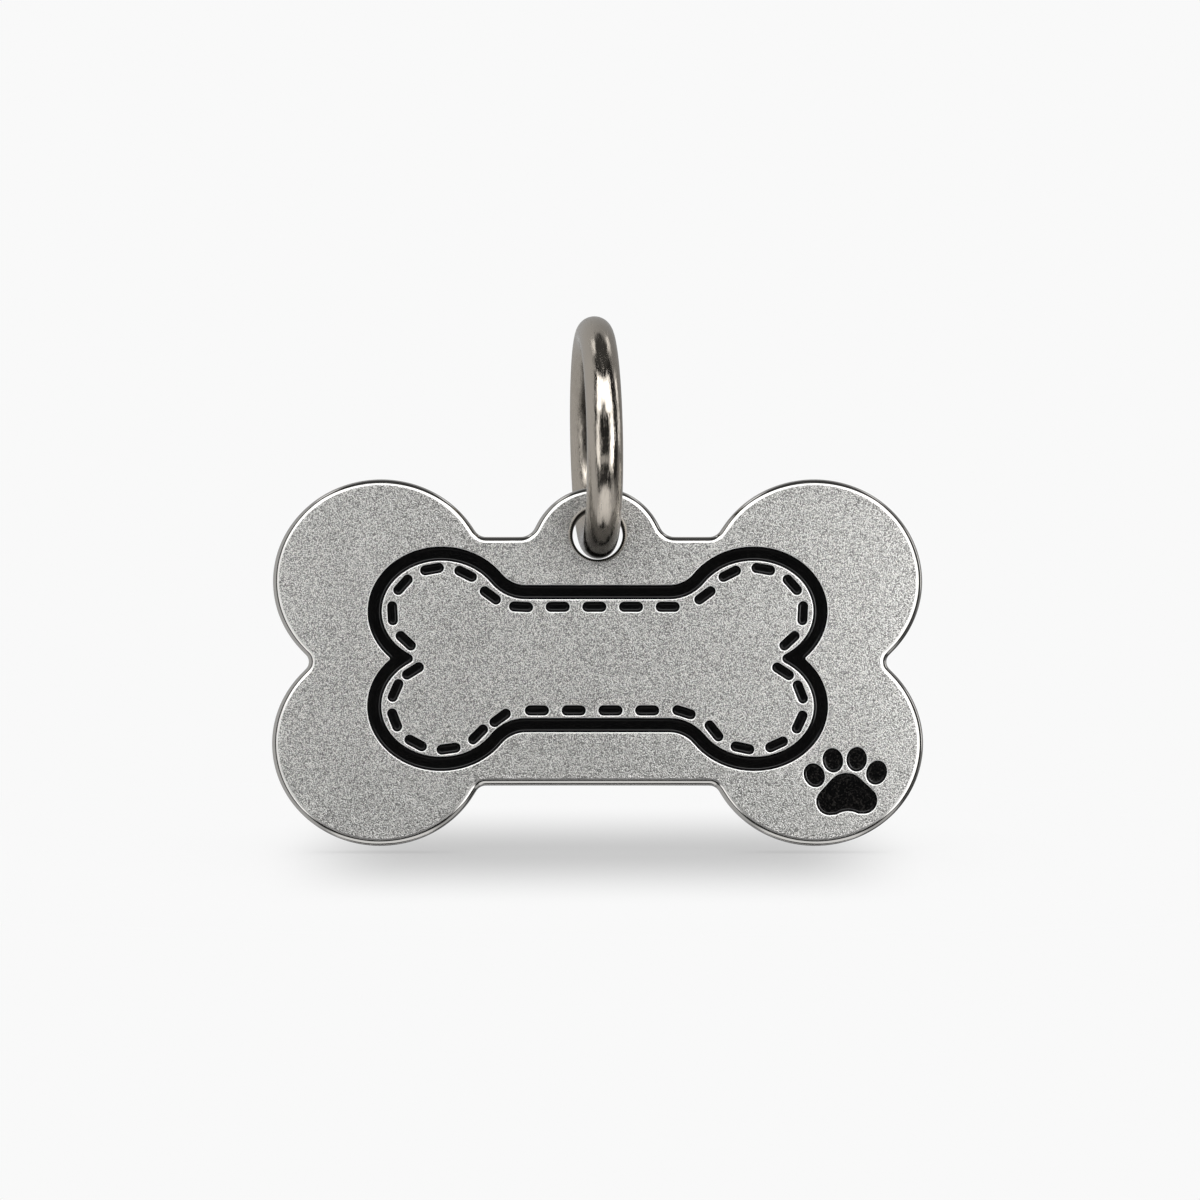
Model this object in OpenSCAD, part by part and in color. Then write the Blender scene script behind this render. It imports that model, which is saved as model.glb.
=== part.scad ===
/* [Plate] */
// Overall width of the bone across its two ends
plate_w = 40; // [36:0.5:48]
// Overall height of the bone over its lobes
plate_h = 22.6; // [21.8:0.1:24]
// Thickness of the plate
plate_t = 1.5; // [1.2:0.1:2.5]
// Width of one lobe as a share of the bone's width
lobe_w_share = 0.3325; // [0.3:0.0025:0.36]
// How far an upper and a lower lobe pass each other at half height, if the end notch weren't there
lobe_lap = 1.3; // [0.6:0.1:1.8]
// Height of the shank between the lobes as a share of the bone's height
shank_h_share = 0.677; // [0.64:0.001:0.72]
// Height of the shank's middle above the middle of the plate
shank_rise = 0.07; // [0:0.01:0.3]
// Radius in the notch between the two lobes of an end
notch_r = 0.62; // [0.4:0.02:1]
// Radius where the shank meets the upper lobes
neck_top_r = 0.82; // [0.4:0.02:1.5]
// Radius where the shank meets the lower lobes
neck_bottom_r = 0.7; // [0.4:0.02:1.5]
// Radius that rolls the outer edge, front and back
edge_r = 0.4; // [0.2:0.05:0.5]

/* [Tab and hole] */
// Diameter of the tab that carries the hole
tab_d = 8.4; // [7.6:0.1:9.4]
// Radius where the tab meets the shank
tab_r = 1; // [0.5:0.1:1.5]
// How far the centre of the tab lies below the hole
tab_drop = 1.23; // [0.9:0.01:1.6]
// Diameter of the hole that the ring passes through
hole_d = 3.1; // [3.06:0.02:3.8]
// Height of the hole's centre above the shank's top edge
hole_over_shank = 0.14; // [-0.2:0.02:0.6]
// Chamfer round both mouths of the hole
hole_chamfer = 0.2; // [0.05:0.05:0.3]

/* [Ring] */
// Outer diameter of the jump ring
ring_d = 15; // [13:0.5:20]
// Diameter of the ring's round wire
wire_d = 2.2; // [1.6:0.1:2.2]
// Width of the closed butt joint in the wire
joint_gap = 0.06; // [0.04:0.01:0.2]
// Place of the butt joint, in degrees from the lowest point towards the back
joint_angle = 45; // [30:5:80]
// Turn of the ring away from square to the plate, in degrees
ring_yaw = 4.9; // [0:0.1:8]
// Lean of the ring's top to the left, in degrees
ring_lean = 1.6; // [0:0.1:3]
// How low the wire lies in the hole, below its centre
wire_drop = 0.34; // [0:0.02:0.34]

/* [Engraving] */
// Depth of every engraved recess
engrave_depth = 0.25; // [0.15:0.05:0.4]
// How far the enamel lies below the face of the plate
enamel_sink = 0.08; // [0.02:0.01:0.12]
// Hairline between the enamel and the wall of its recess
enamel_gap = 0.02; // [0.015:0.005:0.03]

/* [Border groove] */
// Plate left outside the groove at each end
border_end_inset = 5.85; // [5.2:0.05:6.6]
// Plate left outside the groove above and below
border_side_inset = 4.38; // [4:0.02:4.7]
// Width of one lobe of the groove as a share of the groove's width, both over the outer wall
border_lobe_w_share = 0.3216; // [0.3:0.0004:0.34]
// How far an upper and a lower lobe of the groove pass each other at half height
border_lobe_lap = 1.08; // [0.7:0.02:1.3]
// How far the groove's outer wall lies inside the plate's shank, above and below
border_shank_inset = 3.11; // [2.8:0.01:3.4]
// Height of the groove's middle above the middle of the plate
border_rise = 0.17; // [0:0.01:0.3]
// Width of the groove
border_w = 0.89; // [0.6:0.01:1.1]
// Radius of the groove's outer wall where the shank meets a lobe
border_neck_r = 1.95; // [1.4:0.05:2.4]
// Radius of the groove's outer wall in the end notch
border_notch_r = 0.11; // [0.04:0.01:0.3]
// Radius of the groove's inner wall where the shank meets a lobe
field_neck_r = 2.8; // [2:0.1:3.4]
// Radius of the groove's inner wall in the end notch
field_notch_r = 0.29; // [0.2:0.01:0.5]

/* [Stitches] */
// Length of one stitch
stitch_l = 1.5; // [1:0.05:1.6]
// Width of one stitch
stitch_w = 0.64; // [0.4:0.02:0.7]
// Distance from the groove to the middle of the stitches at the sides of a lobe
stitch_inset_x = 0.65; // [0.56:0.01:0.8]
// Distance from the groove to the middle of the stitches above and below
stitch_inset_z = 0.46; // [0.42:0.01:0.6]
// Distance from the groove to the middle of the stitches at the upper necks
stitch_inset_neck = 0.56; // [0.46:0.01:0.7]
// Stitches round an upper lobe, the one at the neck not counted
upper_stitches = 5; // [3:1:5]
// Stitches round a lower lobe
lower_stitches = 6; // [3:1:6]
// Stitches in the upper row
top_row_stitches = 5; // [2:1:5]
// Stitches in the lower row
bottom_row_stitches = 6; // [2:1:6]
// How far the upper row's last stitches stop short of where its line bends at the necks
top_row_short = 0.08; // [0:0.02:0.5]
// How far the lower row's last stitches pass that bend
bottom_row_past = 1.05; // [0.6:0.01:1.1]
// Shift of the upper row to the right
top_row_shift = -0.2; // [-0.4:0.05:0.4]
// Shift of the lower row to the right
bottom_row_shift = -0.34; // [-0.4:0.02:0.4]

/* [Paw print] */
// Distance of the paw's pad to the right of the lower right lobe's centre
paw_x = 1.9; // [1.2:0.1:2.2]
// Distance of the paw's pad below the lower right lobe's centre
paw_drop = 3.27; // [2.9:0.01:3.4]
// Diameter of the pad's round top
pad_top_d = 2.5; // [2:0.05:2.7]
// Diameter of each of the pad's lower corners
pad_corner_d = 1.68; // [1.2:0.04:1.8]
// Distance between the pad's lower corners
pad_corner_span = 2.08; // [1.6:0.02:2.2]
// Drop from the pad's round top to its lower corners
pad_corner_drop = 0.47; // [0.2:0.01:0.6]
// Diameter of the hollow under the pad
pad_hollow_d = 2.6; // [2:0.1:4]
// Height of the hollow above the pad's lowest edge
pad_hollow_rise = 0.2; // [0.05:0.01:0.3]
// Distance from the middle of the pad to the middle of a toe
toe_reach = 2.34; // [2.3:0.01:2.5]
// Length of a toe
toe_l = 1.52; // [1.1:0.02:1.56]
// Width of a toe
toe_w = 1.27; // [0.9:0.01:1.3]
// Tilt of the paw, in degrees
paw_tilt = 2.5; // [0:0.5:6]

/* [Hidden] */
// Overrun of every cut past the face that it starts from
overrun = 0.5;
// Steps of an outline round a lobe, a fillet and the tab, and of the rolled edge on each side
lobe_steps = 40;
fillet_steps = 7;
tab_steps = 20;
edge_steps = 3;
round_fn = 64;
stitch_fn = 24;
steel = "#b9b8b5";
nickel = "#8f8a82";
enamel = "#141414";
// Angles round a lobe from its end notch, and from its neck, to its first and last stitch
upper_end_angle = 15.5;
upper_neck_angle = 26.0;
lower_end_angle = -1.8;
lower_neck_angle = 3.6;
// How far the lower stitches start off towards the left, and how far back the last one sits in the end notch
lower_turn_angle = 3;
lower_last_angle = 6.5;
// Place round its neck and tilt of the stitch at an upper neck
neck_stitch_angle = 40.6;
neck_stitch_tilt = 36.7;
// Start and radius of the rows' bend at the necks, as shares of the field's neck radius
neck_start_share = 0.063;
neck_path_share = 0.835;
// Share of the pad's corner drop that lies above the middle of the pad
pad_top_share = 0.36;
// Angle between two toes as the pad sees them, and how much of it turns the toe itself
toe_fan_angle = 36.5;
toe_turn_share = 0.42;
toe_count = 4;

ring_r = (ring_d - wire_d) / 2;
lobe_w = plate_w * lobe_w_share;
lobe_h = plate_h / 2 + lobe_lap;
shank_h = plate_h * shank_h_share;
hole_rise = shank_h / 2 + shank_rise + hole_over_shank;
// The wire's centre at the lowest point of the ring, seen from the centre of the ring's eye
hang_x = ring_r * sin(ring_lean) * cos(ring_yaw);
hang_z = -ring_r * cos(ring_lean);
face = plate_t / 2;
plate_z = -hole_rise;
lobe_x = (plate_w - lobe_w) / 2;
lobe_z = (plate_h - lobe_h) / 2;
plate = [plate_w, plate_h, lobe_w, lobe_h, shank_h];
border_l = plate_w - 2 * border_end_inset;
border_h = plate_h - 2 * border_side_inset;
border = [border_l, border_h, border_l * border_lobe_w_share, border_h / 2 + border_lobe_lap,
    shank_h - 2 * border_shank_inset];
field = inset(border, border_w);
border_z = plate_z + border_rise;
field_lobe = [field[0] - field[2], field[1] - field[3]] / 2;
stitch_lobe = [field[2] / 2 - stitch_inset_x, field[3] / 2 - stitch_inset_z];
row_z = field[4] / 2 - stitch_inset_z;
// The field's end and neck angles, the centre of its upper right neck's fillet, and the bend of the rows
field_angles = lobe_angles(field, field_neck_r, field_notch_r, 0);
neck_centre = fillet_centre(field_lobe, [field[2], field[3]] / 2, field_neck_r, field_angles[1]);
neck_x = neck_centre[0] + field_neck_r * neck_start_share;
neck_path_r = field_neck_r * neck_path_share;
fill_t = engrave_depth - enamel_sink;

// A bone's sizes are its width, its height, a lobe's width and height, and the shank's height.
// This draws all of its edges in by a margin
function inset(size, margin) = [for (length = size) length - 2 * margin];

// An outline is a list of arcs, anticlockwise. An arc is its centre, its radii across and up, its first and
// last angle, its steps, and the end that it leaves out: 1 for an oval, whose ends belong to its fillets
function arc_points(arc) = [
    for (i = [arc[5] : arc[4] - arc[5]])
        on_oval(arc[0], arc[1], arc[2] + (arc[3] - arc[2]) * i / arc[4])
];

function outline_points(arcs) = [for (arc = arcs) each arc_points(arc)];

function mirrored_x(arcs) = [
    for (i = [len(arcs) - 1 : -1 : 0])
        let (arc = arcs[i]) [[-arc[0][0], arc[0][1]], arc[1], 180 - arc[3], 180 - arc[2], arc[4], arc[5]]
];

function mirrored_z(arcs) = [
    for (i = [len(arcs) - 1 : -1 : 0])
        let (arc = arcs[i]) [[arc[0][0], -arc[0][1]], arc[1], -arc[3], -arc[2], arc[4], arc[5]]
];

function fillet_arc(centre, radius, first, last) = [centre, [radius, radius], first, last, fillet_steps, 0];

function on_oval(centre, radii, angle) = centre + [radii[0] * cos(angle), radii[1] * sin(angle)];

// The way straight out of an oval at an angle
function way_out(radii, angle) =
    let (way = [radii[1] * cos(angle), radii[0] * sin(angle)]) way / norm(way);

// The angle at which a fillet touches the left side of an oval when the fillet's centre has a given height,
// found by halving
function touch_angle(centre, radii, fillet_r, height, low = 90, high = 270, halvings = 30) =
    let (middle = (low + high) / 2, reached = fillet_centre(centre, radii, fillet_r, middle)[1])
        halvings == 0 ? middle
        : reached > height ? touch_angle(centre, radii, fillet_r, height, middle, high, halvings - 1)
        : touch_angle(centre, radii, fillet_r, height, low, middle, halvings - 1);

function fillet_centre(centre, radii, fillet_r, angle) =
    on_oval(centre, radii, angle) + fillet_r * way_out(radii, angle);

// The angles at which a bone's upper right lobe ends at the notch and at the neck
function lobe_angles(size, neck_r, end_r, rise) =
    let (centre = [size[0] - size[2], size[1] - size[3]] / 2, radii = [size[2], size[3]] / 2) [
        180 - touch_angle(centre, radii, end_r, 0),
        touch_angle(centre, radii, neck_r, size[4] / 2 + rise + neck_r)
    ];

// Upper right lobe of a bone and the fillet at its neck, from the end notch on
function lobe_arcs(size, neck_r, end_r, rise) =
    let (
        centre = [size[0] - size[2], size[1] - size[3]] / 2,
        radii = [size[2], size[3]] / 2,
        angles = lobe_angles(size, neck_r, end_r, rise),
        back = -way_out(radii, angles[1]),
        first = atan2(back[1], back[0])
    ) [
        [centre, radii, angles[0], angles[1], lobe_steps, 1],
        fillet_arc(fillet_centre(centre, radii, neck_r, angles[1]), neck_r, first, -90)
    ];

// The fillet in the notch of the right end
function notch_arc(size, end_r) =
    let (
        centre = [size[0] - size[2], size[1] - size[3]] / 2,
        radii = [size[2], size[3]] / 2,
        end_angle = 180 - touch_angle(centre, radii, end_r, 0),
        way = way_out(radii, end_angle),
        turn = atan2(way[1], way[0])
    ) fillet_arc(fillet_centre(centre, radii, end_r, end_angle), end_r, 180 - turn, 180 + turn);

// The tab on top of the shank and its fillets, with the tab's centre at a height over the bone's middle
function tab_arcs(height, radius, shank_top, fillet_r) =
    let (
        centre = [0, height],
        radii = [radius, radius],
        angle = 180 - touch_angle(centre, radii, fillet_r, shank_top + fillet_r),
        fillet = fillet_arc(fillet_centre(centre, radii, fillet_r, angle), fillet_r, -90, angle - 180)
    ) concat([fillet], [[centre, radii, angle, 180 - angle, tab_steps, 1]], mirrored_x([fillet]));

// A whole bone about its middle, with whatever its upper edge carries
function bone_arcs(size, top_r, bottom_r, end_r, rise, top_arcs = []) =
    let (right = concat(mirrored_z(lobe_arcs(size, bottom_r, end_r, -rise)), [notch_arc(size, end_r)],
        lobe_arcs(size, top_r, end_r, rise)))
        concat(right, top_arcs, mirrored_x(right));

module outline(arcs) {
    polygon(outline_points(arcs));
}

// Outline of the plate with its tab about the plate's middle, drawn in by a margin
function plate_arcs(margin) =
    let (
        size = inset(plate, margin),
        shank_top = size[4] / 2 + shank_rise,
        tab = tab_arcs(hole_rise - tab_drop, tab_d / 2 - margin, shank_top, tab_r + margin)
    ) bone_arcs(size, neck_top_r + margin, neck_bottom_r + margin, notch_r + margin, shank_rise, tab);

// The band between two bones, drawn in by a margin on both of its walls
module border_band(margin) {
    outer_neck_r = border_neck_r + margin;
    inner_neck_r = field_neck_r - margin;
    translate([0, border_z]) difference() {
        outline(bone_arcs(inset(border, margin), outer_neck_r, outer_neck_r, border_notch_r + margin, 0));
        outline(bone_arcs(inset(field, -margin), inner_neck_r, inner_neck_r, field_notch_r - margin, 0));
    }
}

// Place and turn of the stitch at an angle round a lobe: side and level are 1 at the right and above
function lobe_stitch(side, level, angle) = [
    side * (field_lobe[0] + stitch_lobe[0] * cos(angle)),
    level * field_lobe[1] + stitch_lobe[1] * sin(angle),
    side * atan2(stitch_lobe[1] * cos(angle), -stitch_lobe[0] * sin(angle))
];

// Turn of a row's line at a distance from the middle, where it starts to follow the neck
function neck_turn(x) = sign(x) * asin(max(0, abs(x) - neck_x) / neck_path_r);

// Stitches of a row whose last ones reach a distance to each side
function row_stitches(count, level, reach, shift) = [
    for (i = [0 : count - 1])
        let (x = shift + (2 * i / (count - 1) - 1) * reach, turn = neck_turn(x))
            [x, level * (row_z + neck_path_r * (1 - cos(turn))), level * turn]
];

function top_row() = row_stitches(top_row_stitches, 1, neck_x - top_row_short, top_row_shift);

function bottom_row() = row_stitches(bottom_row_stitches, -1, neck_x + bottom_row_past, bottom_row_shift);

// The stitches round an upper lobe and the one at its neck, which keeps its distance from the fillet there
function upper_lobe_stitches(side) =
    let (
        first = field_angles[0] + upper_end_angle,
        last = field_angles[1] - upper_neck_angle,
        reach = field_neck_r + stitch_inset_neck,
        place = neck_centre + reach * [sin(neck_stitch_angle), -cos(neck_stitch_angle)]
    ) concat(
        [for (i = [0 : upper_stitches - 1])
            lobe_stitch(side, 1, first + (last - first) * i / (upper_stitches - 1))],
        [[side * place[0], place[1], side * neck_stitch_tilt]]
    );

function lower_lobe_stitches(side) =
    let (first = lower_neck_angle - field_angles[1], last = -field_angles[0] - lower_end_angle) [
        for (i = [0 : lower_stitches - 1])
            let (turn = side * lower_turn_angle * (1 - i / lower_stitches),
                back = i == lower_stitches - 1 ? lower_last_angle : 0)
                lobe_stitch(side, -1, first - turn + (last - first) * i / (lower_stitches - 1) - back)
    ];

module capsule(length, width) {
    hull()
        for (side = [-1, 1])
            translate([side * (length - width) / 2, 0]) circle(d = width, $fn = stitch_fn);
}

module stitches(places, margin) {
    translate([0, border_z])
        for (place = places)
            translate([place[0], place[1]]) rotate(place[2])
                capsule(stitch_l - 2 * margin, stitch_w - 2 * margin);
}

module at_paw() {
    translate([lobe_x + paw_x, plate_z - lobe_z - paw_drop]) rotate(paw_tilt) children();
}

// The pad: a round top drawn out to two lower corners, hollowed from below
module pad(margin) {
    top_z = pad_corner_drop * pad_top_share;
    corner_z = top_z - pad_corner_drop;
    hollow_z = corner_z - pad_corner_d / 2 + pad_hollow_rise - pad_hollow_d / 2;
    at_paw() difference() {
        for (side = [-1, 1])
            hull() {
                translate([0, top_z]) circle(d = pad_top_d - 2 * margin, $fn = round_fn);
                translate([side * pad_corner_span / 2, corner_z])
                    circle(d = pad_corner_d - 2 * margin, $fn = round_fn);
            }
        translate([0, hollow_z]) circle(d = pad_hollow_d + 2 * margin, $fn = round_fn);
    }
}

module toe(number, margin) {
    fan = ((toe_count + 1) / 2 - number) * toe_fan_angle;
    at_paw() rotate(fan) translate([0, toe_reach]) rotate((toe_turn_share - 1) * fan)
        scale([toe_w - 2 * margin, toe_l - 2 * margin]) circle(d = 1, $fn = round_fn);
}

// The plate's own plane: x right, y up, z towards the viewer, with the hole's centre at zero
module on_tag() {
    translate([hang_x, 0, hang_z + wire_drop]) rotate([90, 0, 0]) children();
}

// Cuts a flat shape into the front of the plate
module engrave() {
    translate([0, 0, face - engrave_depth]) linear_extrude(engrave_depth + overrun) children();
}

// Fills a flat shape with enamel, from the floor of its recess
module enamelled() {
    color(enamel) on_tag() translate([0, 0, face - engrave_depth]) linear_extrude(fill_t) children();
}

// One ring of the plate's skin at a turn round its rolled edge: side is 1 in front and -1 behind
function edge_ring(side, turn) = [
    for (point = outline_points(plate_arcs(edge_r * (1 - sin(turn)))))
        [point[0], point[1], side * (face - edge_r * (1 - cos(turn)))]
];

// Which arcs of the plate's outline meet in which hub when a face is closed: the lobes' centres are hubs
// 0, 1, 3 and 4, anticlockwise from the lower right, and the plate's middle is hub 2
function hub_of(arc_number) = lookup(arc_number, [[0, 0], [1, 0], [2, 1], [4, 1], [5, 2], [7, 2], [8, 3],
    [9, 3], [10, 4], [12, 4]]);

// The plate without its cuts: rings of points joined round the rolled edge, and both faces closed by fans
module plate_blank() {
    arcs = plate_arcs(edge_r);
    sides = [[1, -1], [1, 1], [0, 0], [-1, 1], [-1, -1]];
    hubs = [for (side = sides) [side[0] * lobe_x, side[1] * lobe_z]];
    arc_hubs = [for (i = [0 : len(arcs) - 1]) for (j = arc_points(arcs[i])) hub_of(i)];
    count = len(arc_hubs);
    turns = [for (i = [0 : edge_steps]) i * 90 / edge_steps];
    rings = concat([for (turn = turns) edge_ring(1, turn)],
        [for (i = [edge_steps : -1 : 0]) edge_ring(-1, turns[i])]);
    last_ring = (len(rings) - 1) * count;
    first_hub = len(rings) * count;
    walls = [
        for (k = [0 : len(rings) - 2], i = [0 : count - 1])
            let (a = k * count + i, b = k * count + (i + 1) % count)
                each [[a, b, b + count], [a, b + count, a + count]]
    ];
    fans = [
        for (i = [0 : count - 1])
            let (
                j = (i + 1) % count,
                hub = arc_hubs[j],
                before = arc_hubs[i],
                step = hub == before ? [] : [[count + before, i, count + hub]]
            ) each concat([[i, j, count + hub]], step)
    ];
    middles = [for (hub = [3, 4, 0]) [count + hub, count + (hub + 1) % 5, count + 2]];
    face_front = [for (f = concat(fans, middles)) [for (v = f) v < count ? v : first_hub + v - count]];
    face_back = [for (f = concat(fans, middles))
        [for (v = f) v < count ? last_ring + v : first_hub + len(hubs) + v - count]];
    translate([0, plate_z]) polyhedron(
        points = concat([for (ring = rings) each ring], [for (hub = hubs) [hub[0], hub[1], face]],
            [for (hub = hubs) [hub[0], hub[1], -face]]),
        faces = concat(walls, [for (f = face_front) [f[2], f[1], f[0]]], face_back)
    );
}

module hole() {
    cylinder(d = hole_d, h = plate_t + 2 * overrun, center = true, $fn = round_fn);
    for (side = [0, 1])
        mirror([0, 0, side]) translate([0, 0, face - hole_chamfer])
            cylinder(d1 = hole_d, d2 = hole_d + 2 * (hole_chamfer + overrun), h = hole_chamfer + overrun,
                $fn = round_fn);
}

module tag_plate() {
    color(steel) on_tag() difference() {
        plate_blank();
        hole();
        engrave() border_band(0);
        engrave() stitches(top_row(), 0);
        engrave() stitches(bottom_row(), 0);
        for (side = [-1, 1]) {
            engrave() stitches(upper_lobe_stitches(side), 0);
            engrave() stitches(lower_lobe_stitches(side), 0);
        }
        engrave() pad(0);
        for (number = [1 : toe_count])
            engrave() toe(number, 0);
    }
}

// Round wire bent to a circle, its butt joint closed to a hairline behind the tab
module jump_ring() {
    gap_angle = joint_gap / ring_r * 180 / PI;
    color(nickel) rotate([0, -ring_lean, ring_yaw]) rotate([0, 90, 0]) rotate(joint_angle + gap_angle / 2)
        rotate_extrude(angle = 360 - gap_angle, $fn = 2 * round_fn)
            translate([ring_r, 0]) circle(d = wire_d, $fn = round_fn);
}

module border_enamel() {
    enamelled() border_band(enamel_gap);
}

module top_row_stitches() {
    enamelled() stitches(top_row(), enamel_gap);
}

module bottom_row_stitches() {
    enamelled() stitches(bottom_row(), enamel_gap);
}

module upper_left_stitches() {
    enamelled() stitches(upper_lobe_stitches(-1), enamel_gap);
}

module upper_right_stitches() {
    enamelled() stitches(upper_lobe_stitches(1), enamel_gap);
}

module lower_left_stitches() {
    enamelled() stitches(lower_lobe_stitches(-1), enamel_gap);
}

module lower_right_stitches() {
    enamelled() stitches(lower_lobe_stitches(1), enamel_gap);
}

module paw_pad_enamel() {
    enamelled() pad(enamel_gap);
}

module paw_toe_enamel(number) {
    enamelled() toe(number, enamel_gap);
}

tag_plate();
jump_ring();
border_enamel();
top_row_stitches();
bottom_row_stitches();
upper_left_stitches();
upper_right_stitches();
lower_left_stitches();
lower_right_stitches();
paw_pad_enamel();
paw_toe_enamel(1);  // paw_toe_1_enamel
paw_toe_enamel(2);  // paw_toe_2_enamel
paw_toe_enamel(3);  // paw_toe_3_enamel
paw_toe_enamel(4);  // paw_toe_4_enamel
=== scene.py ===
from math import cos, pi, radians, sin, tan

import bpy
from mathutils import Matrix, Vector


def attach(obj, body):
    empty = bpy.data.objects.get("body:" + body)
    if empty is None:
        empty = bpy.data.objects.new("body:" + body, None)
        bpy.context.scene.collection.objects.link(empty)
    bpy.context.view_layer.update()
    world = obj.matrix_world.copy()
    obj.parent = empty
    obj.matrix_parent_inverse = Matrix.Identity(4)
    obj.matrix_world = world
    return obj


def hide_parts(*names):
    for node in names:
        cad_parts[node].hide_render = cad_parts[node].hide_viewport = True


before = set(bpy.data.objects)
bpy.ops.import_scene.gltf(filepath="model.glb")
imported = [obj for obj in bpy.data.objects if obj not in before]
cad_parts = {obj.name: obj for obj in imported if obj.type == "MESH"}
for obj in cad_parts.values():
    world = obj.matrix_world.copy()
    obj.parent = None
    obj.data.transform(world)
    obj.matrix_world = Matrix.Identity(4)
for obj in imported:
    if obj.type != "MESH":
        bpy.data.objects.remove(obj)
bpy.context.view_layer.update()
mm = 0.001
black = (0, 0, 0, 1)


class Wired:
    # a socket that can be written into sums
    def __init__(self, finish, socket):
        self.finish = finish
        self.socket = socket

    def __add__(self, other):
        return self.finish.maths("ADD", self, other)

    def __sub__(self, other):
        return self.finish.maths("SUBTRACT", self, other)

    def __rsub__(self, other):
        return self.finish.maths("SUBTRACT", other, self)

    def __mul__(self, other):
        return self.finish.maths("MULTIPLY", self, other)

    __radd__ = __add__
    __rmul__ = __mul__


class Finish:
    # a material or the world, with its nodes added by one method
    def __init__(self, owner):
        owner.use_nodes = True
        self.owner = owner
        self.tree = owner.node_tree
        self.tree.nodes.clear()

    def add(self, kind, settings=None, inputs=None, output=0):
        node = self.tree.nodes.new("ShaderNode" + kind)
        for key, value in (settings or {}).items():
            setattr(node, key, value)
        for key, value in (inputs or {}).items():
            if isinstance(value, Wired):
                self.tree.links.new(value.socket, node.inputs[key])
            else:
                node.inputs[key].default_value = value
        return Wired(self, node.outputs[output]) if node.outputs else None

    def maths(self, operation, a, b=0.0):
        return self.add("Math", {"operation": operation}, {0: a, 1: b})

    def faded(self, value, start, end, low=0.0, high=1.0, curve="SMOOTHSTEP"):
        # goes from low to high while the value goes from start to end
        return self.add("MapRange", {"interpolation_type": curve},
                        {0: value, 1: start, 2: end, 3: low, 4: high})

    def band(self, value, low, high, soft):
        # 1 between two limits, fading out over a width at both
        rise = self.faded(value, low - soft / 2, low + soft / 2)
        fall = self.faded(value, high - soft / 2, high + soft / 2)
        return rise - fall

    def covered(self, value, mask, shade):
        return value + mask * (shade - value)

    def mixed(self, factor, a, b):
        return self.add("Mix", {"data_type": "RGBA"}, {0: factor, 6: a, 7: b}, output=2)

    def noise(self, place, scale, detail, rough=0.5):
        return self.add("TexNoise", None, {"Vector": place, "Scale": scale, "Detail": detail,
                                            "Roughness": rough})

    def place(self):
        return self.add("TexCoord", output="Object")

    def split(self, place):
        parts = self.add("SeparateXYZ", None, {0: place}).socket.node
        return [Wired(self, socket) for socket in parts.outputs]

    def distance(self, place, scales):
        # from the middle, with each direction scaled
        scaled = self.add("VectorMath", {"operation": "MULTIPLY"}, {0: place, 1: scales})
        return self.add("VectorMath", {"operation": "LENGTH"}, {0: scaled}, output="Value")

    def bumped(self, height, strength, depth):
        return self.add("Bump", None, {"Strength": strength, "Distance": depth * mm, "Height": height})

    def done(self, inputs):
        shader = self.add("BsdfPrincipled", None, inputs)
        self.add("OutputMaterial", None, {"Surface": shader})
        return self.owner


def newFinish(name, colour):
    material = bpy.data.materials.new(name)
    material.diffuse_color = (*colour, 1)
    return Finish(material)


def dimmed(colour, share):
    return tuple(c * share for c in colour) + (1,)


steel = {
    "colour": (0.62, 0.611, 0.592),
    # fine grain, coarse grain and clouds: how many to the metre, detail, contrast
    "grains": ((18000, 1, 4.4), (3600, 2, 0.3), (150, 2, 0.15)),
    "speckle": 0.62,  # how far the grains differ in brightness
    "bump": (1.0, 0.022),  # strength, depth in millimetres
    "roughness": (0.3, 0.2),  # least, and what the coarse grain adds
    # where the ring's painted shade lies on the face: its middle near the hole, then its reach and
    # strength
    "hole": (0.00005, 0, -0.0052),
    "ringShadow": (0.0013, 0.003, 0.24),  # reach round the hole in metres, strength
}


def blastedSteel():
    finish = newFinish("blastedSteel", steel["colour"])
    place = finish.place()
    grains = [finish.noise(place, scale, detail) for scale, detail, _ in steel["grains"]]
    fine, coarse, cloud = [(grain - 0.5) * contrast
                           for grain, (_, _, contrast) in zip(grains, steel["grains"])]
    level = finish.faded(fine + coarse + cloud + 0.5, 0.0, 1.0, curve="LINEAR")
    low = dimmed(steel["colour"], 1 - steel["speckle"])
    high = tuple(min(1, c * (1 + steel["speckle"])) for c in steel["colour"]) + (1,)
    colour = finish.mixed(level, low, high)
    # painted shade of the ring on the face round the hole, darkening its colour
    start, end, loss = steel["ringShadow"]
    away = finish.add("VectorMath", {"operation": "SUBTRACT"}, {0: place, 1: steel["hole"]})
    ringShadowMask = finish.faded(finish.distance(away, (1, 0, 1)), start, end, loss, 0.0)
    colour = finish.mixed(ringShadowMask, colour, black)
    least, more = steel["roughness"]
    return finish.done({"Base Color": colour, "Metallic": 1.0, "Roughness": grains[1] * more + least,
                        "Normal": finish.bumped(grains[0], *steel["bump"])})


polish = {
    "clouds": (900, 3),  # how many to the metre, detail
    "scratches": (6000, 2),
    "bump": (0.25, 0.003),
    "unevenness": 0.1,
    # colour, roughness, how much darker the clouds are
    "rolledEdge": ((0.66, 0.645, 0.62), 0.05, 0.1),
    "burnishedLine": ((0.8, 0.79, 0.77), 0.3, 0.05),
    "mouthLine": ((0.95, 0.945, 0.93), 0.4, 0.05),
    # the punched wall is dull steel, its near-black colour painted shade down the hole
    "shadedPunchedWall": ((0.09, 0.085, 0.08), 0.3, 0.3),
}


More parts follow.
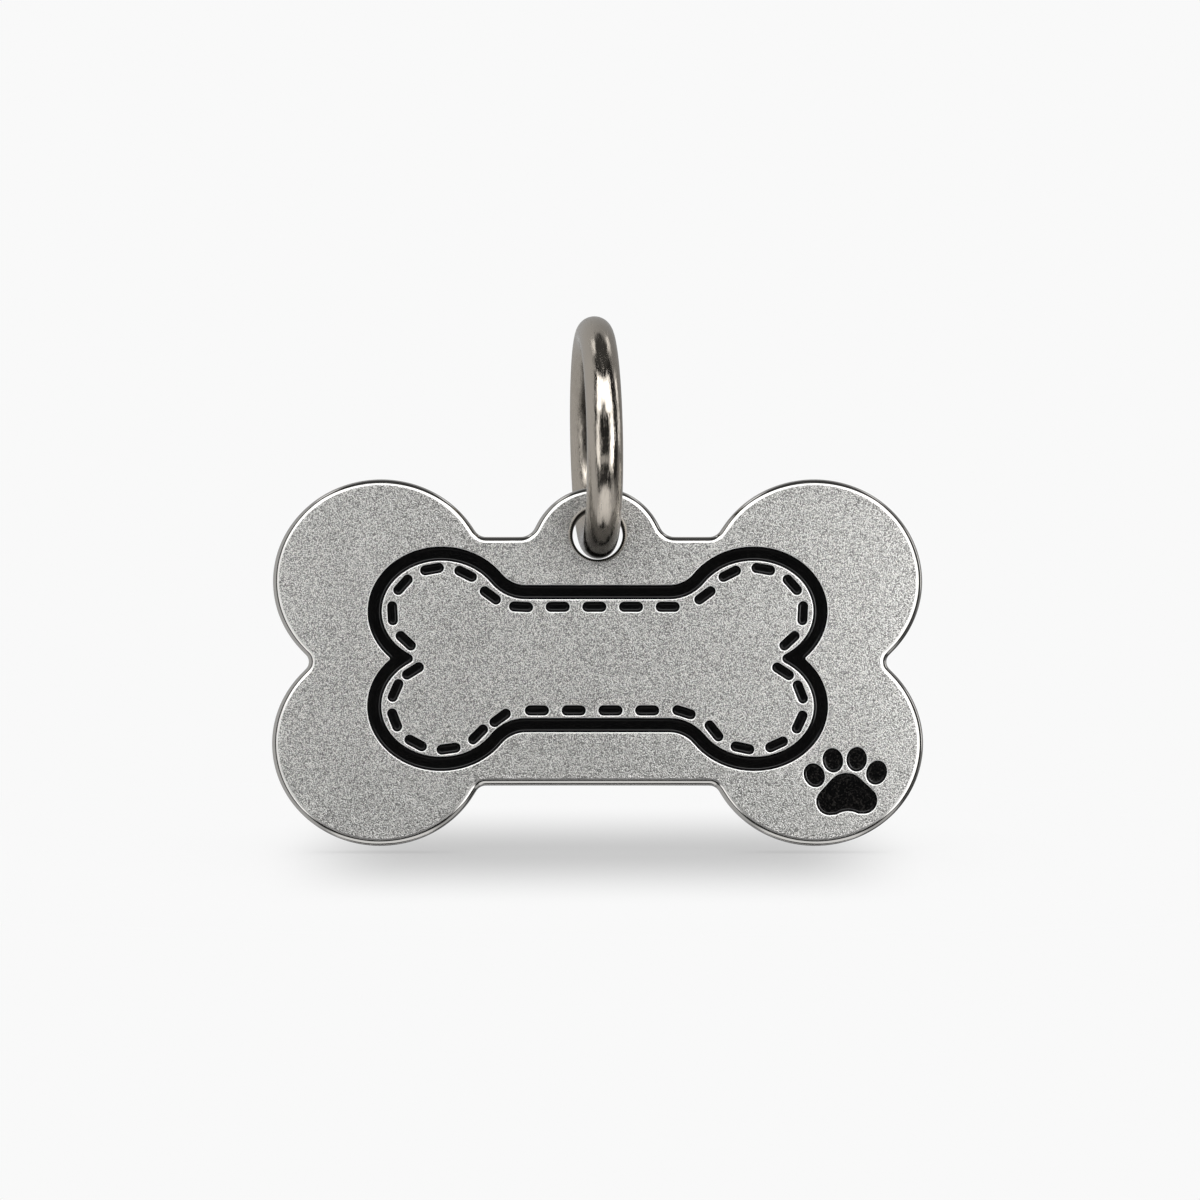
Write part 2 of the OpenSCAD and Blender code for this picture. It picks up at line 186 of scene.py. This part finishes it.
def polishedSteel(name):
    colour, roughness, wear = polish[name]
    finish = newFinish(name, colour)
    place = finish.place()
    cloud = finish.noise(place, *polish["clouds"])
    shade = finish.mixed(cloud, dimmed(colour, 1 - wear), (*colour, 1))
    scratches = finish.noise(place, *polish["scratches"])
    rough = cloud * polish["unevenness"] + roughness
    return finish.done({"Base Color": shade, "Metallic": 1.0, "Roughness": rough,
                        "Normal": finish.bumped(scratches, *polish["bump"])})


nickel = {
    "colour": (0.62, 0.565, 0.495),
    "clouds": (500, 2),
    "cloudShade": 0.88,
    "lines": (10000, 9),  # to the metre over the wire, and to the radian round the ring
    "lineNoise": (1, 3, 0.6),
    "bump": (0.6, 0.018),
    "lineLimits": (0.4, 0.7),
    "roughness": (0.04, 0.34),  # between the drawing lines and on them
    # each grows between two places in metres, most of them up to a strength
    # painted shade low on the ring, where it hangs in the hole
    "holeShade": (-0.0048, -0.0066, 0.72),  # height
    # painted shade on the inside of the ring, towards its top
    "inside": (0.0063, 0.0058, 0.75),  # distance from the ring's axis
    "insideShadeUp": (-0.0018, -0.0006),
    "insideShadeAcross": (-0.00055, -0.00028),
    "dullBack": (0.001, 0.004, 0.2),
}


def drawnNickel():
    # fine drawing lines run along the wire, and fray the reflections that cross them
    finish = newFinish("drawnNickel", nickel["colour"])
    place = finish.place()
    level = place
    for angles in ((0, 0, -radians(ring["yawDegrees"])), (0, radians(ring["leanDegrees"]), 0)):
        level = finish.add("Mapping", {"vector_type": "POINT"}, {"Vector": level, "Rotation": angles})
    across, deep, up = finish.split(level)
    reach = finish.maths("SQRT", deep * deep + up * up)
    turn = finish.maths("ARCTAN2", up, 0 - deep)
    over, along = nickel["lines"]
    lines = finish.add("CombineXYZ", None, {0: across * over, 1: reach * over, 2: turn * along})
    streaks = finish.noise(lines, *nickel["lineNoise"])
    cloud = finish.noise(place, *nickel["clouds"])
    shade = finish.mixed(cloud, dimmed(nickel["colour"], nickel["cloudShade"]), (*nickel["colour"], 1))
    # painted shade low on the ring where it hangs in the hole, and painted shade inside it
    start, end, strength = nickel["holeShade"]
    shade = finish.mixed(finish.faded(up, start, end, 0.0, strength), shade, black)
    start, end, strength = nickel["inside"]
    # painted shade inside the ring, towards its top
    inside = (finish.faded(reach, start, end, 0.0, strength) * finish.faded(up, *nickel["insideShadeUp"])
              * finish.faded(across, *nickel["insideShadeAcross"]))
    shade = finish.mixed(inside, shade, black)
    # less polished at the back
    start, end, strength = nickel["dullBack"]
    rough = finish.faded(deep, start, end, 0.0, strength) + finish.faded(
        streaks, *nickel["lineLimits"], *nickel["roughness"], curve="LINEAR")
    return finish.done({"Base Color": shade, "Metallic": 1.0, "Roughness": rough,
                        "Normal": finish.bumped(streaks, *nickel["bump"])})


enamel = {
    "colour": (0.003, 0.003, 0.0033),
    # lighter specks are painted glints of light on the stipple
    "glint": (0.042, 0.039, 0.036),
    "stipple": (9500, 1),
    "glints": (0.5, 0.75),  # where the stipple turns into specks
    "groove": 0.25,  # how bright the specks are in the grooves, and in the paw print
    "paw": 1.0,
    "bump": (0.5, 0.004),
    "clouds": (700, 2),
    "roughness": (0.12, 0.08),
    "depth": 0.2,  # from the floor of its recess
    "cutLevel": 0.1,  # where its outline is taken, over that floor
    "margin": 0.12,  # level next to the wall, before a fine step down
    "step": (0.035, 0.009),
}


def glossEnamel(name, speckle):
    finish = newFinish(name, enamel["colour"])
    place = finish.place()
    # the stipple's bumps are real; its lighter specks are painted glints, strong in the paw print and
    # faint in the grooves
    stipple = finish.noise(place, *enamel["stipple"])
    glints = finish.faded(stipple, *enamel["glints"], 0.0, speckle, curve="LINEAR")
    shade = finish.mixed(glints, (*enamel["colour"], 1), (*enamel["glint"], 1))
    least, more = enamel["roughness"]
    rough = finish.noise(place, *enamel["clouds"]) * more + least
    return finish.done({"Base Color": shade, "Roughness": rough,
                        "Normal": finish.bumped(stipple, *enamel["bump"])})


# working on meshes

slack = 0.01  # millimetres that don't count
straight = 0.999  # of the normal, for a face that looks to the front or the back
outline = {
    "weld": 0.001,  # joins the CAD triangles
    "merge": 0.02,  # drops points that stand closer
    "bendDegrees": 0.5,  # drops points on straight runs
    "bandPoints": 150,  # only a band's two outlines have more
}


def onlyThis(piece):
    if bpy.context.object and bpy.context.object.mode != "OBJECT":
        bpy.ops.object.mode_set(mode="OBJECT")
    bpy.ops.object.select_all(action="DESELECT")
    piece.select_set(True)
    bpy.context.view_layer.objects.active = piece


def editNothing(piece, mode="VERT"):
    onlyThis(piece)
    bpy.ops.object.mode_set(mode="EDIT")
    bpy.ops.mesh.select_mode(type=mode)
    bpy.ops.mesh.select_all(action="DESELECT")
    bpy.ops.object.mode_set(mode="OBJECT")


def pickThese(piece, numbers):
    editNothing(piece)
    for v in numbers:
        piece.data.vertices[v].select = True
    bpy.ops.object.mode_set(mode="EDIT")


def pickEdges(piece, wanted):
    editNothing(piece, "EDGE")
    points = piece.data.vertices
    for edge in piece.data.edges:
        edge.select = wanted(*[points[v].co for v in edge.vertices])
    bpy.ops.object.mode_set(mode="EDIT")


def pickFaces(piece, wanted):
    editNothing(piece, "FACE")
    for face in piece.data.polygons:
        face.select = wanted(face)
    bpy.ops.object.mode_set(mode="EDIT")


def resized(piece, factor):
    # pieces are worked on in millimetres, where Blender's tools keep fine edges apart
    onlyThis(piece)
    bpy.ops.object.mode_set(mode="EDIT")
    bpy.ops.mesh.select_all(action="SELECT")
    bpy.ops.transform.resize(value=(factor, factor, factor), center_override=(0, 0, 0))
    bpy.ops.object.mode_set(mode="OBJECT")
    return piece


def outlinesOf(node, level, name):
    # the outlines of a CAD solid, cut at a level between its back and its front
    piece = bpy.data.objects.new(name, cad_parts[node].data.copy())
    bpy.context.scene.collection.objects.link(piece)
    onlyThis(piece)
    bpy.ops.object.mode_set(mode="EDIT")
    bpy.ops.mesh.select_mode(type="VERT")
    bpy.ops.mesh.select_all(action="SELECT")
    bpy.ops.mesh.remove_doubles(threshold=outline["weld"] * mm)
    bpy.ops.mesh.bisect(plane_co=(0, level * mm, 0), plane_no=(0, 1, 0), clear_inner=True,
                        clear_outer=True, threshold=outline["weld"] * mm / 10)
    bpy.ops.mesh.select_all(action="SELECT")
    bpy.ops.mesh.remove_doubles(threshold=outline["merge"] * mm)
    bpy.ops.mesh.dissolve_limited(angle_limit=radians(outline["bendDegrees"]))
    bpy.ops.object.mode_set(mode="OBJECT")
    piece.data.materials.clear()
    return resized(piece, 1 / mm)


def loopsOf(piece):
    # the closed loops of its edges, each as the numbers of its points
    beside = {}
    for edge in piece.data.edges:
        a, b = edge.vertices
        beside.setdefault(a, []).append(b)
        beside.setdefault(b, []).append(a)
    loops, seen = [], set()
    for start in beside:
        loop, waiting = [], [start]
        while waiting:
            v = waiting.pop()
            if v not in seen:
                seen.add(v)
                loop.append(v)
                waiting += beside[v]
        if loop:
            loops.append(loop)
    return loops


def dropWidestLoop(piece):
    def width(loop):
        across = [piece.data.vertices[v].co.x for v in loop]
        return max(across) - min(across)
    pickThese(piece, max(loopsOf(piece), key=width))
    bpy.ops.mesh.delete(type="VERT")
    bpy.ops.object.mode_set(mode="OBJECT")


def closeAndRaise(piece, back, front, slotNumber):
    # a face in every outline, or a band between the two of the border, and walls up to the front
    onlyThis(piece)
    loops = sorted(loopsOf(piece), key=len)
    band = loops[-1] + loops[-2] if len(loops[-1]) > outline["bandPoints"] else None
    for group in [band] + loops[:-2] if band else loops:
        pickThese(piece, group)
        if group is band:
            bpy.ops.mesh.bridge_edge_loops()
        else:
            bpy.ops.mesh.edge_face_add()
    bpy.ops.object.mode_set(mode="OBJECT")
    level = piece.data.vertices[0].co.y
    bpy.ops.object.mode_set(mode="EDIT")
    bpy.ops.mesh.select_all(action="SELECT")
    bpy.ops.transform.translate(value=(0, back - level, 0))
    bpy.ops.mesh.extrude_region_move(TRANSFORM_OT_translate={"value": (0, front - back, 0)})
    bpy.ops.mesh.select_all(action="SELECT")
    bpy.ops.mesh.normals_make_consistent(inside=False)
    bpy.ops.object.mode_set(mode="OBJECT")
    for face in piece.data.polygons:
        face.material_index = slotNumber
    return piece


# tag plate

# its finishes: blasted face, rolled edge, burnished line, recess wall, bright lip and punched hole,
# painted dark with shade
faceSlot, edgeSlot, lineSlot, wallSlot, lipSlot, holeSlot = range(6)
plate = {
    "face": 0.75,  # half its thickness
    "rim": 0.4,  # width of the rolled edge, with the burnished line beside the face
    "rimLine": 0.1,
    "rimLineTilt": radians(18),
    "rimSteps": 8,
    "burnished": 0.94,  # of the normal, down to which a rounding is burnished
    "curve": (4, 3),  # order and steps of its smooth outline
    "weld": 0.004,
    "hole": (0.178, -6.0575, 1.55),  # across, up, radius
    "holeClear": 1.85,  # all outlines this near to it are the hole's
    "drill": (96, 4),  # sides and length of what cuts the hole
    "holeRounding": (0.26, 5),  # width, steps
    "recess": 0.25,  # depth of the engraving
    "cutLevel": 0.1,  # where its outlines are taken, under the face
    "cutPast": 0.5,
    "lip": (0.05, radians(16)),  # width and tilt of the bright lip round each recess
}


def nearHole(point, reach):
    across, up, _ = plate["hole"]
    return (point.x - across) ** 2 + (point.z - up) ** 2 < reach ** 2


def dropHole(piece):
    pickThese(piece, [v.index for v in piece.data.vertices if nearHole(v.co, plate["holeClear"])])
    bpy.ops.mesh.delete(type="VERT")


def rimProfile():
    # the steps that draw the edge in: round from the wall to the burnished line, then the line
    tilt = plate["rimLineTilt"]
    radius = (plate["rim"] - plate["rimLine"]) / (1 - sin(tilt))
    turns = [pi / 2 + (tilt - pi / 2) * k / plate["rimSteps"] for k in range(plate["rimSteps"] + 1)]
    steps = [(radius * (sin(a) - sin(b)), radius * (cos(b) - cos(a))) for a, b in zip(turns, turns[1:])]
    return steps + [(plate["rimLine"], plate["rimLine"] * tan(tilt))]


def makePlate():
    steps = rimProfile()
    wall = plate["face"] - sum(up for _, up in steps)
    body = outlinesOf("tag_plate", 0, "TagPlate")
    dropHole(body)
    # drawn again as a smooth curve along the same points
    onlyThis(body)
    bpy.ops.object.convert(target="CURVE")
    bpy.ops.object.mode_set(mode="EDIT")
    bpy.ops.curve.select_all(action="SELECT")
    bpy.ops.curve.spline_type_set(type="NURBS")
    bpy.ops.object.mode_set(mode="OBJECT")
    for spline in body.data.splines:
        spline.order_u, spline.resolution_u = plate["curve"]
    bpy.ops.object.convert(target="MESH")
    bpy.ops.object.mode_set(mode="EDIT")
    bpy.ops.mesh.select_all(action="SELECT")
    bpy.ops.mesh.remove_doubles(threshold=plate["weld"])
    bpy.ops.mesh.edge_face_add()
    bpy.ops.transform.translate(value=(0, -wall, 0))
    bpy.ops.mesh.extrude_region_move(TRANSFORM_OT_translate={"value": (0, 2 * wall, 0)})
    bpy.ops.mesh.select_all(action="SELECT")
    bpy.ops.mesh.normals_make_consistent(inside=False)
    # the rolled edge, at the back and at the front
    for side in (-1, 1):
        pickFaces(body, lambda face: face.normal.y * side > straight)
        for inward, up in steps:
            bpy.ops.mesh.inset(thickness=inward, depth=up)
    bpy.ops.object.mode_set(mode="OBJECT")
    for face in body.data.polygons:
        facing = abs(face.normal.y)
        rim = lineSlot if facing > plate["burnished"] else edgeSlot
        face.material_index = faceSlot if facing > straight else rim
    return body


def makeHoleCutter():
    across, up, radius = plate["hole"]
    sides, length = plate["drill"]
    bpy.ops.object.select_all(action="DESELECT")
    bpy.ops.mesh.primitive_cylinder_add(vertices=sides, radius=radius, depth=length,
                                        location=(across, 0, up), rotation=(pi / 2, 0, 0))
    cutter = bpy.context.object
    bpy.ops.object.transform_apply(location=True, rotation=True, scale=True)
    for face in cutter.data.polygons:
        face.material_index = holeSlot
    return cutter


def makeRecessCutter():
    front = -plate["face"]
    cutter = outlinesOf("tag_plate", front + plate["cutLevel"], "recessCutter")
    # the plate's own outline and the hole aren't recesses
    dropWidestLoop(cutter)
    dropHole(cutter)
    return closeAndRaise(cutter, front + plate["recess"], front - plate["cutPast"], wallSlot)


def cutAway(piece, tool):
    onlyThis(piece)
    cut = piece.modifiers.new("cut", "BOOLEAN")
    cut.operation = "DIFFERENCE"
    cut.solver = "EXACT"
    cut.object = tool
    bpy.ops.object.modifier_apply(modifier=cut.name)
    bpy.data.objects.remove(tool)


def roundHole(piece, width, steps):
    # rounds the hole's edges, bright towards the face, and dark down the wall with painted shade
    front, radius = plate["face"] - slack, plate["hole"][2] + slack
    pickEdges(piece, lambda a, b: all(nearHole(p, radius) and abs(p.y) > front for p in (a, b)))
    bpy.ops.mesh.bevel(offset=width, segments=steps, clamp_overlap=False, material=lineSlot)
    bpy.ops.object.mode_set(mode="OBJECT")
    for face in piece.data.polygons:
        if face.select and abs(face.normal.y) < plate["burnished"]:
            face.material_index = holeSlot


def closeFront(piece):
    # the flat front again, as one sheet of small triangles between the mouths of the recesses
    front = -plate["face"] + slack
    pickFaces(piece, lambda face: face.material_index == faceSlot and face.normal.y < -straight
              and face.center.y < front)
    bpy.ops.mesh.delete(type="FACE")
    bpy.ops.mesh.select_mode(type="EDGE")
    bpy.ops.mesh.select_non_manifold()
    bpy.ops.mesh.fill(use_beauty=True)
    bpy.ops.object.mode_set(mode="OBJECT")
    # a sliver that lies over its neighbours leaves an open edge
    faces = {}
    for face in piece.data.polygons:
        for key in face.edge_keys:
            faces[key] = faces.get(key, 0) + 1
    pickFaces(piece, lambda face: any(faces[key] == 1 for key in face.edge_keys))
    bpy.ops.mesh.delete(type="FACE")
    bpy.ops.mesh.select_all(action="SELECT")
    bpy.ops.mesh.normals_make_consistent(inside=False)
    bpy.ops.object.mode_set(mode="OBJECT")


def turnLips(piece, width, tilt):
    # a narrow lip round every recess, with its inner edge let down a little
    pickFaces(piece, lambda face: face.material_index != wallSlot)
    bpy.ops.mesh.inset(thickness=width)
    bpy.ops.object.mode_set(mode="OBJECT")
    walls, lips = set(), set()
    for face in piece.data.polygons:
        if face.material_index == wallSlot:
            walls.update(face.vertices)
        elif not face.select:
            face.material_index = lipSlot
            lips.update(face.vertices)
    pickThese(piece, walls & lips)
    bpy.ops.transform.translate(value=(0, width * tan(tilt), 0))
    bpy.ops.object.mode_set(mode="OBJECT")


def shadeSmooth(piece):
    # flat faces stay flat, so that the metal between them and a rounding has a clean line
    for face in piece.data.polygons:
        face.use_smooth = face.material_index != lipSlot and abs(face.normal.y) <= straight
    piece.data.update()


tagPlate = makePlate()
# in the order of the slots
for finish in (blastedSteel(), polishedSteel("rolledEdge"), polishedSteel("burnishedLine"),
               glossEnamel("enamelledWall", 0.0), polishedSteel("mouthLine"),
               polishedSteel("shadedPunchedWall")):
    tagPlate.data.materials.append(finish)
cutAway(tagPlate, makeHoleCutter())
roundHole(tagPlate, *plate["holeRounding"])
cutAway(tagPlate, makeRecessCutter())
closeFront(tagPlate)
turnLips(tagPlate, *plate["lip"])
shadeSmooth(tagPlate)
resized(tagPlate, mm)
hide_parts("tag_plate")
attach(tagPlate, "tag")
print("tag plate", len(tagPlate.data.polygons), "faces")

# jump ring

ring = {
    "radius": 6.4,  # to the middle of the wire
    "wire": 1.1,
    "gap": 0.06,
    "jointDegrees": 45,  # from the lowest point towards the back
    "steps": 220,
    "sides": 48,
    "endRounding": 0.03,
    "smoothDegrees": 35,
    "leanDegrees": 1.6,
    "yawDegrees": 4.7,
    "aside": 0.08,  # to the right of the middle
}


def makeRing():
    opening = ring["gap"] / ring["radius"]
    turn = radians(ring["jointDegrees"]) + opening / 2
    place = Vector((0, sin(turn), -cos(turn))) * ring["radius"]
    bpy.ops.object.select_all(action="DESELECT")
    bpy.ops.mesh.primitive_circle_add(vertices=ring["sides"], radius=ring["wire"],
                                      location=place, rotation=(turn - pi / 2, 0, 0))
    wire = bpy.context.object
    wire.name = wire.data.name = "JumpRing"
    bpy.ops.object.transform_apply(location=True, rotation=True, scale=True)
    bpy.ops.object.mode_set(mode="EDIT")
    bpy.ops.mesh.select_all(action="SELECT")
    bpy.ops.mesh.spin(steps=ring["steps"], angle=2 * pi - opening, center=(0, 0, 0), axis=(1, 0, 0))
    # the two cut ends of the wire
    bpy.ops.mesh.select_mode(type="EDGE")
    bpy.ops.mesh.select_all(action="DESELECT")
    bpy.ops.mesh.select_non_manifold()
    bpy.ops.mesh.edge_face_add()
    bpy.ops.mesh.bevel(offset=ring["endRounding"], segments=2, clamp_overlap=False)
    bpy.ops.mesh.select_all(action="SELECT")
    bpy.ops.mesh.normals_make_consistent(inside=False)
    bpy.ops.object.mode_set(mode="OBJECT")
    wire.rotation_euler = (0, -radians(ring["leanDegrees"]), radians(ring["yawDegrees"]))
    wire.location = (ring["aside"], 0, 0)
    bpy.ops.object.transform_apply(location=True, rotation=True, scale=True)
    bpy.ops.object.shade_smooth_by_angle(angle=radians(ring["smoothDegrees"]))
    return resized(wire, mm)


jumpRing = makeRing()
jumpRing.data.materials.append(drawnNickel())
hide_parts("jump_ring")
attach(jumpRing, "ring")
print("jump ring", len(jumpRing.data.polygons), "faces")

# enamel fills

fillNames = {
    "border_enamel": "BorderEnamel",
    "top_row_stitches": "TopRowStitches",
    "bottom_row_stitches": "BottomRowStitches",
    "upper_left_stitches": "UpperLeftStitches",
    "upper_right_stitches": "UpperRightStitches",
    "lower_left_stitches": "LowerLeftStitches",
    "lower_right_stitches": "LowerRightStitches",
    "paw_pad_enamel": "PawPadEnamel",
    "paw_toe_1_enamel": "PawToe1Enamel",
    "paw_toe_2_enamel": "PawToe2Enamel",
    "paw_toe_3_enamel": "PawToe3Enamel",
    "paw_toe_4_enamel": "PawToe4Enamel",
}


def makeFill(node, name, finish):
    back = -plate["face"] + plate["recess"]
    level = back - enamel["depth"]
    fill = outlinesOf(node, back - enamel["cutLevel"], name)
    closeAndRaise(fill, back, level, 0)
    pickFaces(fill, lambda face: face.normal.y < -straight and face.center.y < level + slack)
    inward, down = enamel["step"]
    bpy.ops.mesh.inset(thickness=enamel["margin"])
    bpy.ops.mesh.inset(thickness=inward, depth=-down)
    resized(fill, mm)
    fill.data.materials.append(finish)
    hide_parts(node)
    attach(fill, "tag")
    return fill


smoothBlack = glossEnamel("glossEnamel", enamel["groove"])
glintedBlack = glossEnamel("glintedEnamel", enamel["paw"])
for node, name in fillNames.items():
    fill = makeFill(node, name, glintedBlack if node.startswith("paw") else smoothBlack)
    print(name, len(fill.data.polygons), "faces")

# floor, light and camera

stage = {
    "white": 0.947,  # what the camera sees of the background
    "paint": (0.95, 0.95, 0.95),
    "floorHeight": -25.6,
    "floorTilt": 11,
    "floorSize": (150, 64),
    "floorReach": (66, 30),  # across and deep, where the floor has faded into the background
    "floorFade": 0.75,  # the share of that reach where it starts to
    "glow": 0.85,  # how much of the floor's white is its own
    "shade": 0.385,  # strength of the soft shade under the tag
    "shadeAcross": (10.5, 21),  # where it starts to fade and ends
    "shadeDeep": (1.2, 20),
    "sky": 0.2,
    "mirrored": (0.38, 0.16),  # in the middle, and how much darker to the right
    "sun": 2.55,
    "sunHeight": 200,
    "sunSize": 62,
    "lampSize": (5, 24),
    "lamps": (("rightLamp", (33, -33, -9), 0.0021), ("leftLamp", (-33, -33, -9), 0.0006)),
    "camera": (0.326, -299.61, -36.28),
    "cameraTilt": 95,
    "cameraAngle": 14.02,
    "cameraClip": 10,
}


def makeFloor():
    bpy.ops.object.select_all(action="DESELECT")
    bpy.ops.mesh.primitive_plane_add(size=1)
    floor = bpy.context.object
    floor.name = "Floor"
    across, deep = stage["floorSize"]
    floor.scale = (across * mm, deep * mm, 1)
    floor.rotation_euler = (radians(stage["floorTilt"]), 0, 0)
    floor.location = (0, 0, stage["floorHeight"] * mm)
    finish = newFinish("paleFloor", stage["paint"])
    place = finish.place()
    white = (stage["white"],) * 3 + (1,)
    # a soft shade under the tag
    right, back, _ = finish.split(place)
    along = finish.maths("ABSOLUTE", right) * across
    towards = finish.maths("ABSOLUTE", back) * deep
    ends = finish.faded(along, *stage["shadeAcross"], 1.0, 0.0, curve="SMOOTHERSTEP")
    sides = finish.faded(towards, *stage["shadeDeep"], 1.0, 0.0)
    shaded = finish.mixed(ends * sides * stage["shade"], white, black)
    paint = finish.add("BsdfDiffuse", None, {"Color": (*stage["paint"], 1)})
    own = finish.add("Emission", None, {"Color": shaded, "Strength": 1})
    under = finish.add("MixShader", None, {0: stage["glow"], 1: paint, 2: own})
    # and the background's own white towards the rim
    reach, depth = stage["floorReach"]
    away = finish.distance(place, (across / reach, deep / depth, 0))
    beyond = finish.add("Emission", None, {"Color": white, "Strength": 1})
    above = finish.add("MixShader", None, {
        0: finish.faded(away, stage["floorFade"], 1.0), 1: under, 2: beyond})
    # seen from below it isn't there
    below = finish.add("NewGeometry", output="Backfacing")
    clear = finish.add("BsdfTransparent")
    surface = finish.add("MixShader", None, {0: below, 1: above, 2: clear})
    finish.add("OutputMaterial", None, {"Surface": surface})
    floor.data.materials.append(finish.owner)
    floor.visible_glossy = False


# What the metal mirrors, each row over the ones before it, in degrees. Turn is 0 straight in front
# of the tag and grows to its right, rise is 90 overhead. A row says whether its turn goes to both
# sides alike, then the turn's limits and softness, the rise's limits and softness, and a brightness.
studio = (
    # dark overhead and below
    (True, -1, 120, 30, 52, 100, 12, 0.06),
    (True, -100, 400, 1, 69, 100, 8, 0.06),
    (True, -100, 400, 1, -100, -42, 8, 0.07),
    (False, 100, 400, 20, -100, -12, 8, 0.05),
    (False, -400, -162, 10, -100, -12, 8, 0.05),
    # darker still in front
    (False, -66, 90, 8, -50, 60, 10, 0.025),
    # cards
    (False, -46, 54, 5, 17, 50, 5, 2.55),
    (False, -19, 12, 8, 13, 27, 8, 0.15),
    (False, -48, -33, 5, -32, 17, 5, 1.6),
    (False, 35, 57, 6, -32, 17, 6, 2.2),
    (False, -30, 30, 2, -30.5, -23, 2, 0.45),
    (False, 97, 109, 6, 0, 34, 6, 1.6),
    (False, -122, -84, 6, 54, 66, 6, 1.2),
    (False, 105, 140, 6, 50, 60, 6, 1.2),
    (False, -120, 130, 8, -95, -53, 8, 0.95),
    (False, 60, 130, 10, -60, -35, 10, 0.5),
    (False, -130, -60, 10, -60, -35, 10, 0.5),
    (False, 140, 200, 4, -54, -47, 4, 1.2),
    (False, -200, -140, 4, -54, -47, 4, 1.2),
    # the pale background behind the tag
    (True, 173, 400, 5, 0, 11, 4, 0.7),
)


def makeSky():
    world = bpy.data.worlds.new("studio")
    bpy.context.scene.world = world
    finish = Finish(world)
    side, back, up = finish.split(finish.add("TexCoord", output="Generated"))
    turn = finish.maths("ARCTAN2", side, 0 - back) * (180 / pi)
    rise = finish.maths("ARCSINE", up) * (180 / pi)
    wide = finish.maths("ABSOLUTE", turn)
    middle, fall = stage["mirrored"]
    light = middle - side * fall
    for both, left, right, turnSoft, low, high, riseSoft, shade in studio:
        across = finish.band(wide if both else turn, left, right, turnSoft)
        light = finish.covered(light, across * finish.band(rise, low, high, riseSoft), shade)
    camera, through, mirrored = [finish.add("LightPath", output=ray) for ray in (
        "Is Camera Ray", "Is Transmission Ray", "Is Glossy Ray")]
    seen = camera + through
    level = light * mirrored + stage["sky"] * (1 - mirrored) * (1 - seen) + seen * stage["white"]
    background = finish.add("Background", None, {"Color": (1, 1, 1, 1), "Strength": level})
    finish.add("OutputWorld", None, {"Surface": background})


def makeLights():
    bpy.ops.object.select_all(action="DESELECT")
    bpy.ops.object.light_add(type="SUN", location=(0, 0, stage["sunHeight"] * mm))
    sun = bpy.context.object
    sun.name = "overheadLight"
    sun.data.energy = stage["sun"]
    sun.data.angle = radians(stage["sunSize"])
    sun.visible_glossy = False
    # small lamps beside the tag brighten its ends
    for name, place, power in stage["lamps"]:
        bpy.ops.object.light_add(type="AREA", location=[c * mm for c in place])
        lamp = bpy.context.object
        lamp.name = name
        lamp.data.shape = "RECTANGLE"
        lamp.data.size, lamp.data.size_y = [c * mm for c in stage["lampSize"]]
        lamp.data.energy = power
        away = Vector((place[0], place[1], 0))
        lamp.rotation_euler = away.to_track_quat("Z", "Y").to_euler()
        lamp.visible_camera = False
        lamp.visible_diffuse = False


def makeCamera():
    bpy.ops.object.camera_add(location=[c * mm for c in stage["camera"]],
                              rotation=(radians(stage["cameraTilt"]), 0, 0))
    camera = bpy.context.object
    camera.data.angle = radians(stage["cameraAngle"])
    camera.data.clip_start = stage["cameraClip"] * mm
    bpy.context.scene.camera = camera


makeFloor()
makeSky()
makeLights()
makeCamera()
bpy.context.scene.view_settings.view_transform = "Standard"
print("stage ready")
